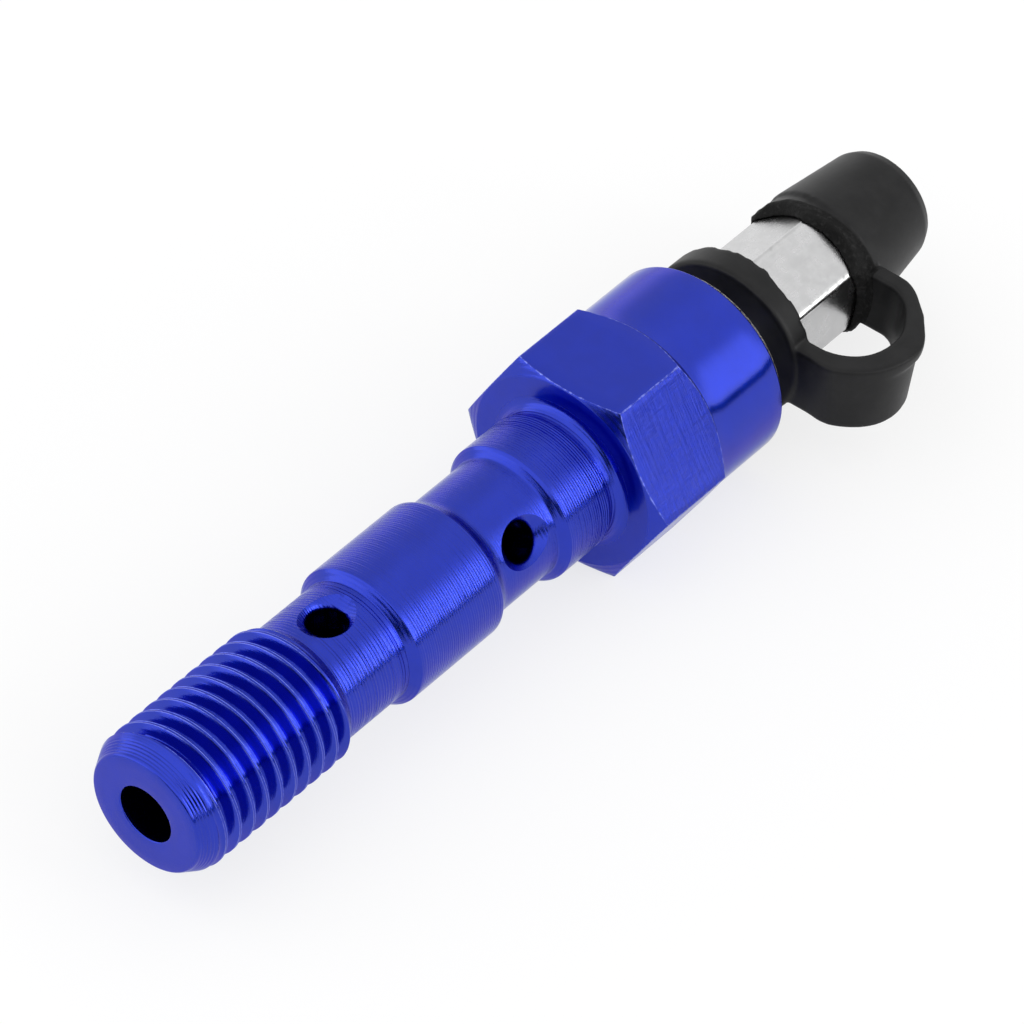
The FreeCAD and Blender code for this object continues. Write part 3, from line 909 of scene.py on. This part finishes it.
class Finish:
    """The node tree of one material or of the world."""

    def __init__(self, tree):
        self.tree = tree
        tree.nodes.clear()

    def add(self, kind, settings=None, values=None, output=0):
        """Makes a node of a kind, sets its settings first and then its sockets, each to a value or
        to a wire, and gives one of its outputs."""
        node = self.tree.nodes.new(kind)
        for key, value in (settings or {}).items():
            setattr(node, key, value)
        for key, value in (values or {}).items():
            socket = node.inputs[key]
            if isinstance(value, Wire):
                self.tree.links.new(value.socket, socket)
            elif hasattr(socket.default_value, "__len__") and len(socket.default_value) == 4:
                socket.default_value = (*value, 1.0) if len(value) == 3 else value
            else:
                socket.default_value = value
        return Wire(self, node.outputs[output])

    def mix(self, share, first, second):
        """A colour between two colours."""
        values = {0: share, 6: first, 7: second}
        return self.add("ShaderNodeMix", {"data_type": "RGBA"}, values, 2)

    def noise(self, vector, scale, detail=3.0, roughness=0.5):
        values = {"Vector": vector, "Scale": scale, "Detail": detail, "Roughness": roughness}
        return self.add("ShaderNodeTexNoise", None, values)

    def stretched(self, vector, scale):
        """A vector whose parts are scaled by three numbers."""
        return self.add("ShaderNodeVectorMath", {"operation": "MULTIPLY"}, {0: vector, 1: scale})

    def parts(self, vector):
        """The three parts of a vector as wires."""
        node = self.add("ShaderNodeSeparateXYZ", None, {"Vector": vector}).socket.node
        return [Wire(self, output) for output in node.outputs]

    def position(self):
        """The place on the piece in millimetres, its three parts and its distance from the axis."""
        place = self.add("ShaderNodeTexCoord", None, None, "Object")
        place_mm = self.stretched(place, (1000, 1000, 1000))
        x, y, z = self.parts(place_mm)
        return place_mm, x, y, z, (y * y + z * z).root()

    def bump(self, height, distance):
        """A surface direction that follows a height. The distance is in metres."""
        values = {"Strength": 1.0, "Distance": distance, "Height": height}
        return self.add("ShaderNodeBump", None, values)

    def surface(self, values):
        """Ends the tree with a Principled surface."""
        self.end("ShaderNodeOutputMaterial", self.add("ShaderNodeBsdfPrincipled", None, values))

    def end(self, kind, shader):
        node = self.tree.nodes.new(kind)
        self.tree.links.new(shader.socket, node.inputs["Surface"])


def new_finish(name):
    material = bpy.data.materials.new(name)
    material.use_nodes = True
    return material, Finish(material.node_tree)


def wear_finish(piece, material):
    piece.data.materials.clear()
    piece.data.materials.append(material)


# %% [markdown]
# ## Blue anodising
#
# Anodising grows a clear oxide on the metal, and dye fills its pores. So the look has two layers:
# a coloured metal that reflects softly, and a clear, glossy coat over it. On turned faces the tool
# left fine rings, which a bump follows along X. On the flats the cutter left short crossed marks,
# deepest on one of them. The head's edges and the burr along each thread crest are worn paler,
# with nicks, and this paler colour is also a painted highlight. At the collar's end rim the dye
# has rubbed off into pale specks, partly a painted glint. Inside the bore and the cross holes the
# blue is darkened as painted shade.

# %% The blue finish
BLUE = (0.004, 0.025, 0.46)
PALE_METAL_GLINT = (0.82, 0.79, 0.7)
WORN_HIGHLIGHT_BLUE = (0.26, 0.32, 0.92)
PAINTED_HOLE_SHADE = (0.0, 0.002, 0.05)
COAT = 0.68
SIN_60 = 0.866
HEAD_LENGTH = HEX_END - SEAT
RUBBED_AND_GLINT_FROM = (13.66, 6.28)
blue_material, blue = new_finish("blue_anodising")
place_mm, x, y, z, radius = blue.position()

flat_one = z.size()
flat_two = (y * SIN_60 + z * 0.5).size()
flat_three = (y * SIN_60 - z * 0.5).size()
nearest = flat_one.lower(flat_two).lower(flat_three)
farthest = flat_one.higher(flat_two).higher(flat_three)
on_head = (x > 0.02) * (x < 7.24)
on_flat = on_head * (farthest > 6.985)
end_face = (x < -38.78) + (x.size() < 0.03) * (radius > 5.45) + (x > 14.08)

drift = blue.noise(blue.stretched(place_mm, (0.9, 0.25, 0.25)), 1.0, 2.0)
uneven_x = x + 0.08 * drift
lands = (uneven_x * (TURN / 0.19)).sine()
coarse = (uneven_x * (TURN / 0.31)).sine()
scratchy = blue.noise(blue.stretched(place_mm, (14.0, 0.12, 0.12)), 1.0, 4.0, 0.7) - 0.5
on_waist_two = (x > -10.9) * (x < -5.2)
on_collar = x.rise(7.1, 7.4)
on_thread = 1 - x.rise(-26.0, -25.4)
ring_strength = (1 - on_waist_two * 0.75) * (1 - on_collar * 0.93) * (1 - on_thread * 0.8)
plain_share = (1 - on_thread * 0.5) * (1 - on_collar * 0.75)
turning = (lands * 0.7 + coarse * 0.35) * ring_strength + scratchy * 2.4 * plain_share

cutter = blue.noise(blue.stretched(place_mm, (4.5, 0.3, 0.3)), 1.0, 5.0, 0.7)
cutter_cross = blue.noise(blue.stretched(place_mm, (0.35, 4.0, 4.0)), 1.0, 4.0, 0.65)
rough_flat = (y < -0.2) * ((z * 0.5 - y * SIN_60) > HEX_APOTHEM - 0.02)
milling = (cutter * 1.4 + cutter_cross * 0.6 - 1.0) * (0.5 + rough_flat * 10.0)
satin = (blue.noise(place_mm, 6.0, 4.0, 0.6) - 0.5) * 0.7
height = turning * (1 - on_flat) * (1 - end_face) + milling * on_flat + satin * end_face
blue_bump = blue.bump(height, 7e-6)

blotch = blue.noise(place_mm, 0.55, 3.0, 0.55)
blue_tint = blue.mix(blotch.rise(0.3, 0.7), tuple(0.92 * part for part in BLUE), BLUE)

above_collar = radius - COLLAR_RADIUS
below_flat = HEX_APOTHEM - farthest
front_gap = (x - above_collar * FRONT_SLOPE).size()
back_gap = (HEAD_LENGTH - above_collar * BACK_SLOPE - x).size()
border_gap = front_gap.lower(back_gap).higher(below_flat)
# Paler head edges and thread crests: partly wear with nicks, partly a painted highlight where edges
# catch the light.
nick = blue.noise(place_mm, 2.6, 5.0, 0.7)
edge_gap = nearest.higher(below_flat).lower(border_gap) - (nick - 0.5) * 0.2
worn_edge_highlight = on_head * (radius > 6.92) * (1 - edge_gap.rise(0.015, 0.05))

round_axis = z.sum_with("ARCTAN2", z, y)
phase = (x + (SEAT - ROOT_STATION)) / PITCH - round_axis / TURN
from_crest = (phase.sum_with("FRACT", phase) - 0.5).size()
crest_burr_highlight = (1 - (from_crest - 0.068).size().rise(0.006, 0.014)) * (x > -37.3) * (x < -26.0)
crest_burr_highlight = crest_burr_highlight * (radius > 4.84)
wear_and_painted_highlight = (worn_edge_highlight * (0.25 + nick.rise(0.45, 0.6) * 0.6)).higher(crest_burr_highlight * nick.rise(0.3, 0.5))
blue_with_wear_and_painted_light = blue.mix(wear_and_painted_highlight * 0.75, blue_tint, WORN_HIGHLIGHT_BLUE)
# Painted shade: the inside of the bore and the inner walls of the cross holes are darkened towards
# black, with a thinner coat.
hole_shade_mask = (radius < 3.7) * (x < -5.0) * (x > -38.5)
blue_with_wear_and_painted_light = blue.mix(hole_shade_mask * 0.7, blue_with_wear_and_painted_light, PAINTED_HOLE_SHADE)

# Pale specks at the collar's end rim: dye rubbed off, and partly a painted glint along that edge.
speckle = blue.noise(place_mm, 5.5, 3.0, 0.7).rise(0.42, 0.52)
at_rim = (x > RUBBED_AND_GLINT_FROM[0]) * (radius > RUBBED_AND_GLINT_FROM[1])
rubbed_and_glint = at_rim * speckle
blue_colour = blue.mix(rubbed_and_glint, blue_with_wear_and_painted_light, PALE_METAL_GLINT)
blue_roughness = 0.18 + on_flat * 0.12 + end_face * 0.12 + rubbed_and_glint * 0.3 + (blotch - 0.5) * 0.08
blue.surface(
    {
        "Base Color": blue_colour,
        "Metallic": 1.0,
        "Roughness": blue_roughness,
        "Specular Tint": (0.32, 0.38, 0.8),
        "Coat Weight": COAT - rubbed_and_glint * COAT - hole_shade_mask * 0.25,
        "Coat Roughness": 0.06,
        "Coat IOR": 1.5,
        "Normal": blue_bump,
        "Coat Normal": blue_bump,
    },
)
wear_finish(bolt, blue_material)
print("nodes in the blue finish:", len(blue.tree.nodes))

# %% [markdown]
# ## Plated steel
#
# The nipple has a bright plating over steel. It is pale and satin, with faint streaks along the
# flats and slight clouding. Along the hexagon's corners a painted highlight makes the metal paler,
# strongest on the corner that stands at -Y and +Z.

# %% The steel finish
STEEL = (0.62, 0.62, 0.625)
PAINTED_HIGHLIGHT_STEEL = (0.97, 0.97, 0.97)
steel_material, steel = new_finish("plated_steel")
place_mm, x, y, z, radius = steel.position()
cloud = steel.noise(place_mm, 0.9, 4.0, 0.6)
streak = steel.noise(steel.stretched(place_mm, (0.7, 7.0, 7.0)), 1.0, 3.0, 0.6)
grain = steel.noise(place_mm, 14.0, 3.0, 0.6)
# Painted highlight: the hexagon's corners are made paler, most of all the corner at -Y and +Z.
highlit_corner = (y < -3.4) * (z > 0.0)
corner_highlight = (radius - 4.42).rise(0.0, 0.16) * steel.noise(place_mm, 3.0, 2.0).rise(0.35, 0.5)
corner_highlight = corner_highlight * (0.15 + highlit_corner * 0.85)
steel_tint = steel.mix(cloud.rise(0.3, 0.75), tuple(0.88 * part for part in STEEL), STEEL)
steel_colour = steel.mix(corner_highlight, steel_tint, PAINTED_HIGHLIGHT_STEEL)
steel_height = (grain - 0.5) * 1.2 + (streak - 0.5) * 1.6 + (cloud - 0.5) * 3.0
steel_bump = steel.bump(steel_height, 4e-6)
steel.surface(
    {
        "Base Color": steel_colour,
        "Metallic": 1.0,
        "Roughness": 0.26 + (cloud - 0.5) * 0.16 - corner_highlight * 0.08,
        "Normal": steel_bump,
    },
)
wear_finish(nipple, steel_material)
print("nodes in the steel finish:", len(steel.tree.nodes))

# %% [markdown]
# ## Black rubber
#
# Moulded rubber is nearly black, with a soft sheen. It has a faint bloom in patches and a fine
# grain from the mould. The lip at the hood's mouth, where the flash was trimmed off, is rougher
# and mottled, and its colour is darkened there as painted shade.

# %% The rubber finish
RUBBER = (0.006, 0.006, 0.0065)
RUBBER_BLOOM = (0.012, 0.012, 0.0125)
LIP_PAINTED_SHADE = (0.001, 0.001, 0.001)
LIP_PALE = (0.014, 0.014, 0.014)
rubber_material, rubber = new_finish("black_rubber")
place_mm, x, y, z, radius = rubber.position()
bloom = rubber.noise(place_mm, 0.5, 4.0, 0.6)
grain = rubber.noise(place_mm, 16.0, 3.0, 0.6)
crumbs = rubber.noise(place_mm, 3.2, 4.0, 0.7)
slanted = x + y * 0.12
# Painted shade: the lip behind the hood's mouth is darkened, mottled with paler crumbs of trimmed
# rubber.
at_lip = x.rise(24.0, 24.1) * (1 - slanted.rise(25.6, 25.8)) * (radius < 5.2)
rubber_tint = rubber.mix(bloom.rise(0.35, 0.75), RUBBER, RUBBER_BLOOM)
lip_mottle_and_shade = rubber.mix(crumbs.rise(0.5, 0.7), LIP_PAINTED_SHADE, LIP_PALE)
rubber_colour = rubber.mix(at_lip, rubber_tint, lip_mottle_and_shade)
rubber_height = (grain - 0.5) * 0.35 + (bloom - 0.5) * 1.5 + at_lip * (crumbs - 0.5) * 6.0
rubber_bump = rubber.bump(rubber_height, 1.5e-5)
rubber.surface(
    {
        "Base Color": rubber_colour,
        "Roughness": 0.42 + (bloom - 0.5) * 0.2 + at_lip * 0.3,
        "Specular IOR Level": 0.23,
        "Normal": rubber_bump,
    },
)
wear_finish(cap, rubber_material)
print("nodes in the rubber finish:", len(rubber.tree.nodes))

# %% [markdown]
# ## Floor and light
#
# The bolt lies on a white table. Metal shows what stands round it, so all light comes from a
# surround that the world paints: an even ceiling, and patches of other brightness at their own
# headings and heights. Some are pale, two are dark, and a narrow bright strip stands within a
# softbox. The floor is a white sheet. To the camera and to metal it also glows a little, so that
# it looks white without more light on the object, and it keeps the object's shadow.

# %% Floor
CAMERA_GLOW = 0.72
METAL_GLOW = 0.45
FLOOR_LOW = (-0.22, -0.22)
FLOOR_HIGH = (0.6, 0.6)
FLOOR_HEIGHT = cad_low[2]
floor_mesh = bpy.data.meshes.new("floor")
floor_points = [
    (FLOOR_LOW[0], FLOOR_LOW[1], FLOOR_HEIGHT),
    (FLOOR_HIGH[0], FLOOR_LOW[1], FLOOR_HEIGHT),
    (FLOOR_HIGH[0], FLOOR_HIGH[1], FLOOR_HEIGHT),
    (FLOOR_LOW[0], FLOOR_HIGH[1], FLOOR_HEIGHT),
]
floor_mesh.from_pydata(floor_points, [], [(0, 1, 2, 3)])
floor = new_piece("floor", floor_mesh)
floor_material, sheet = new_finish("white_table")
rays = sheet.add("ShaderNodeLightPath").socket.node
camera_ray, glossy_ray, transmission_ray = [
    Wire(sheet, rays.outputs[name])
    for name in ("Is Camera Ray", "Is Glossy Ray", "Is Transmission Ray")
]
shown = camera_ray * CAMERA_GLOW + (glossy_ray + transmission_ray) * METAL_GLOW
paper = sheet.add("ShaderNodeBsdfDiffuse", None, {"Color": (0.9, 0.9, 0.9)})
glow = sheet.add("ShaderNodeEmission", None, {"Color": (1.0, 1.0, 1.0), "Strength": 1.0})
floor_shader = sheet.add("ShaderNodeMixShader", None, {0: shown, 1: paper, 2: glow})
sheet.end("ShaderNodeOutputMaterial", floor_shader)
wear_finish(floor, floor_material)

# %% Surround
CEILING = 0.85
world = bpy.data.worlds.new("surround")
bpy.context.scene.world = world
world.use_nodes = True
sky = Finish(world.node_tree)
direction = sky.add("ShaderNodeTexCoord", None, None, "Generated")
dir_x, dir_y, dir_z = sky.parts(direction)
level = (1 - dir_z * dir_z).root() + 0.001


def patch(heading, spread, bottom, top):
    """1 within a stretch of the surround, 0 outside. The heading is its middle on the horizon, the
    spread gives the cosines at which it ends and is full, and bottom and top are pairs of heights
    between which its lower and upper borders fade."""
    values = {0: direction, 1: (*heading, 0.0)}
    along = sky.add("ShaderNodeVectorMath", {"operation": "DOT_PRODUCT"}, values, "Value")
    beside = (along / level).rise(*spread)
    return beside * dir_z.rise(*bottom) * (1 - dir_z.rise(*top))


BELOW = (-1.1, -1.05)
ABOVE = (1.05, 1.1)
left_ceiling = (0 - dir_x).rise(0.0, 0.4)
# Each row is a stretch of the surround and its brightness. Later rows cover earlier ones.
patches = [
    (patch((0.83, -0.557), (0.2, 0.8), (0.3, 0.6), ABOVE), 1.0),
    (left_ceiling, 1.3),
    (patch((0.3, 0.954), (0.2, 0.6), BELOW, (0.1, 0.4)), 1.15),
    (patch((-0.75, 0.661), (0.6, 0.85), BELOW, (0.25, 0.45)), 1.65),
    (patch((0.94, -0.34), (0.5, 0.8), BELOW, (0.3, 0.5)), 0.5),
    (patch((-0.94, -0.34), (0.7, 0.93), BELOW, (0.26, 0.33)), 0.05),
    (patch((0.5, -0.866), (0.2, 0.5), BELOW, (0.06, 0.09)), 0.08),
    (patch((0.2, -0.98), (0.72, 0.84), (0.06, 0.09), (0.54, 0.8)), 1.85),
    (patch((0.3, -0.954), (0.991, 0.997), (0.06, 0.09), (0.5, 0.7)), 5.5),
]
brightness = dir_z * 0 + CEILING
for mask, light in patches:
    brightness = brightness + mask * (light - brightness)
backdrop = sky.add(
    "ShaderNodeBackground", None, {"Color": (1.0, 1.0, 1.0), "Strength": brightness}
)
sky.end("ShaderNodeOutputWorld", backdrop)

# %% [markdown]
# ## Camera
#
# The photograph was taken from the thread's end, from above and from far away, with a long lens.
# The camera's three directions are given as vectors: to the right, into the picture, and up, which
# is the right vector crossed with the forward one.

# %% Camera
from mathutils import Matrix, Vector

FRAME_WIDTH = 1024
FOCAL_PIXELS = 6800
CAMERA_PLACE = (-0.24113, -0.19021, 0.29245)
right = Vector((0.6391, -0.7689, 0.0163)).normalized()
forward = Vector((0.5608, 0.4515, -0.694)).normalized()
up = right.cross(forward).normalized()
forward = up.cross(right)
camera_data = bpy.data.cameras.new("camera")
camera_data.sensor_width = 36
camera_data.lens = camera_data.sensor_width * FOCAL_PIXELS / FRAME_WIDTH
camera_data.clip_start = 0.01
camera_data.clip_end = 10
camera = bpy.data.objects.new("camera", camera_data)
bpy.context.scene.collection.objects.link(camera)
turn_matrix = Matrix((right, up, -forward)).transposed().to_4x4()
camera.matrix_world = Matrix.Translation(Vector(CAMERA_PLACE)) @ turn_matrix
bpy.context.scene.camera = camera
bpy.context.scene.view_settings.view_transform = "Standard"
print("lens in mm:", round(camera_data.lens, 1))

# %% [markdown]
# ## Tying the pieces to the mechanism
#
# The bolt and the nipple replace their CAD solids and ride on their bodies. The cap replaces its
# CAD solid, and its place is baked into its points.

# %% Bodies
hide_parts("banjo_bolt")
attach(bolt, "bolt")
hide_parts("bleed_nipple")
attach(nipple, "nipple")
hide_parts("dust_cap")
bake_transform(cap)
